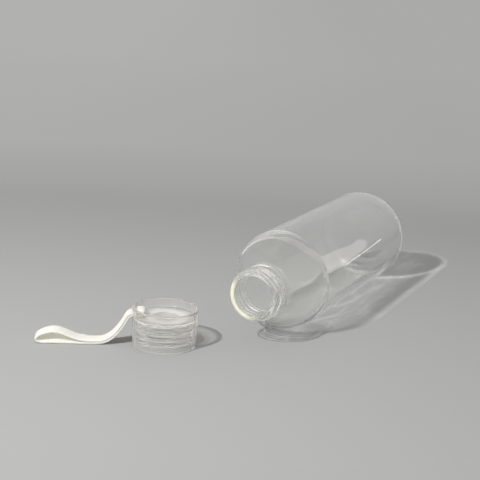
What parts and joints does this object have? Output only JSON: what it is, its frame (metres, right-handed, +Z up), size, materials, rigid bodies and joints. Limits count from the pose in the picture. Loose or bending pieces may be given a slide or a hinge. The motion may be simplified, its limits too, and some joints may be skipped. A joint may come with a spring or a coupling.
{
  "type": "glass bottle",
  "caption": "Clear glass bottle lying on its side, wide screw mouth open, with its clear screw cap and white strap loop standing beside it.",
  "frame": {"origin": "on the floor, under the middle of the bounding box of the bottle, cap and strap at rest", "axes": "+Y along the bottle's axis from the mouth to the base, +Z up, +X from the cap's side to the bottle's side"},
  "size_m": [0.1644, 0.2932, 0.072],
  "materials": {
    "bottle_glass": "clear, polished",
    "clear_plastic": "clear, moulded, glossy",
    "silicone": "translucent white, matte",
    "strap": "white, matte"
  },
  "bodies": {
    "bottle": {"bottle_glass": "bottle_glass"},
    "seal": {"seal_ring": "silicone"},
    "cap": {"cap_shell": "clear_plastic", "strap_stop": "strap", "strap_tails": "strap"},
    "strap": {"strap_loop": "strap"}
  },
  "joints": [
    {"name": "cap_lift", "type": "slide", "parent": "bottle", "child": "seal", "axis": [0, 0, 1], "range_m": [0, 0.1]},
    {"name": "cap_turn", "type": "hinge", "parent": "seal", "child": "cap", "pos_m": [-0.00523, -0.09662, 0], "axis": [0, 0, 1], "range_deg": [-135, 135]},
    {"name": "strap_swing", "type": "hinge", "parent": "cap", "child": "strap", "pos_m": [-0.02594, -0.1093, 0.0217], "axis": [-0.5225, 0.8526, 0], "range_deg": [0, 110]}
  ]
}
